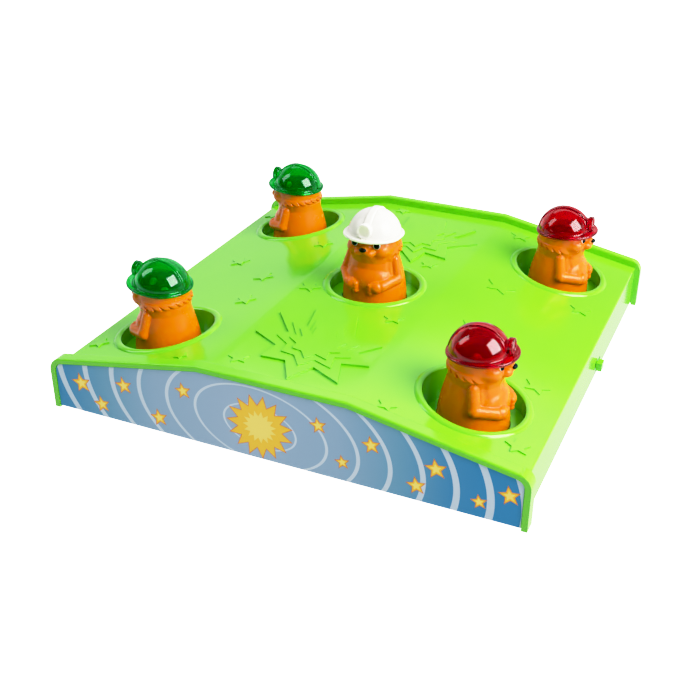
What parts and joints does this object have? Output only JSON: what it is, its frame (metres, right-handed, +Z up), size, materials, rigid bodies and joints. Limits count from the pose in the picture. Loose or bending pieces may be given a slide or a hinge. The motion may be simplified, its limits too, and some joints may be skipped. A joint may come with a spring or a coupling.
{
  "type": "whack-a-mole toy",
  "caption": "Tabletop whack-a-mole game: a low console with sloping wings and wells, from which sprung moles in lit hard hats pop back up after a hit.",
  "frame": {"origin": "on the ground, under the middle of the console", "axes": "+X to the right along the end walls, +Y from the label to the back, +Z up"},
  "size_m": [0.26, 0.254, 0.0889],
  "materials": {
    "console_plastic": "glossy lime green moulding",
    "label_print": "printed sheet",
    "mole_plastic": "glossy orange moulding",
    "hat_green": "see-through green",
    "hat_red": "see-through red",
    "hat_white": "milky white",
    "spring_steel": "drawn wire",
    "screw_steel": "plated",
    "post_plastic": "moulded",
    "lamp_plastic": "clear lens",
    "cell_metal": "wrapped can",
    "speaker_metal": "pressed frame",
    "board": "coated board",
    "black_plastic": "moulded",
    "wire_sleeve": "flexible sleeve",
    "foot_rubber": "moulded"
  },
  "bodies": {
    "console": {"deck_shell": "console_plastic", "front_label": "label_print", "base_cover": "console_plastic", "battery_door": "console_plastic", "battery_door_screw": "screw_steel", "batteries": "cell_metal", "battery_contacts": "screw_steel", "cover_screws": "screw_steel", "post_screws": "screw_steel", "feet": "foot_rubber", "main_board": "board", "board_screws": "screw_steel", "speaker": "speaker_metal", "power_switch": "black_plastic", "station_boards": "board", "tact_switches": "black_plastic", "wire_harness": "wire_sleeve", "return_spring_front_left": "spring_steel", "guide_post_front_left": "post_plastic", "lamp_front_left": "lamp_plastic", "return_spring_back_left": "spring_steel", "guide_post_back_left": "post_plastic", "lamp_back_left": "lamp_plastic", "return_spring_middle": "spring_steel", "guide_post_middle": "post_plastic", "lamp_middle": "lamp_plastic", "return_spring_front_right": "spring_steel", "guide_post_front_right": "post_plastic", "lamp_front_right": "lamp_plastic", "return_spring_back_right": "spring_steel", "guide_post_back_right": "post_plastic", "lamp_back_right": "lamp_plastic"},
    "mole_front_left": {"mole_body_front_left": "mole_plastic", "helmet_front_left": "hat_green"},
    "mole_back_left": {"mole_body_back_left": "mole_plastic", "helmet_back_left": "hat_green"},
    "mole_middle": {"mole_body_middle": "mole_plastic", "helmet_middle": "hat_white"},
    "mole_front_right": {"mole_body_front_right": "mole_plastic", "helmet_front_right": "hat_red"},
    "mole_back_right": {"mole_body_back_right": "mole_plastic", "helmet_back_right": "hat_red"},
    "power_knob": {"switch_knob": "console_plastic"}
  },
  "joints": [
    {"name": "mole_front_left_press", "type": "slide", "parent": "console", "child": "mole_front_left", "axis": [0, 0, 1], "range_m": [-0.005, 0], "stiffness_N_per_m": 300, "springref_m": 0.006, "deforming": ["return_spring_front_left"]},
    {"name": "mole_back_left_press", "type": "slide", "parent": "console", "child": "mole_back_left", "axis": [0, 0, 1], "range_m": [-0.005, 0], "stiffness_N_per_m": 300, "springref_m": 0.006, "deforming": ["return_spring_back_left"]},
    {"name": "mole_middle_press", "type": "slide", "parent": "console", "child": "mole_middle", "axis": [0, 0, 1], "range_m": [-0.005, 0], "stiffness_N_per_m": 300, "springref_m": 0.006, "deforming": ["return_spring_middle"]},
    {"name": "mole_front_right_press", "type": "slide", "parent": "console", "child": "mole_front_right", "axis": [0, 0, 1], "range_m": [-0.005, 0], "stiffness_N_per_m": 300, "springref_m": 0.006, "deforming": ["return_spring_front_right"]},
    {"name": "mole_back_right_press", "type": "slide", "parent": "console", "child": "mole_back_right", "axis": [0, 0, 1], "range_m": [-0.005, 0], "stiffness_N_per_m": 300, "springref_m": 0.006, "deforming": ["return_spring_back_right"]},
    {"name": "power_knob_slide", "type": "slide", "parent": "console", "child": "power_knob", "axis": [0, 1, 0], "range_m": [0, 0.006]}
  ]
}
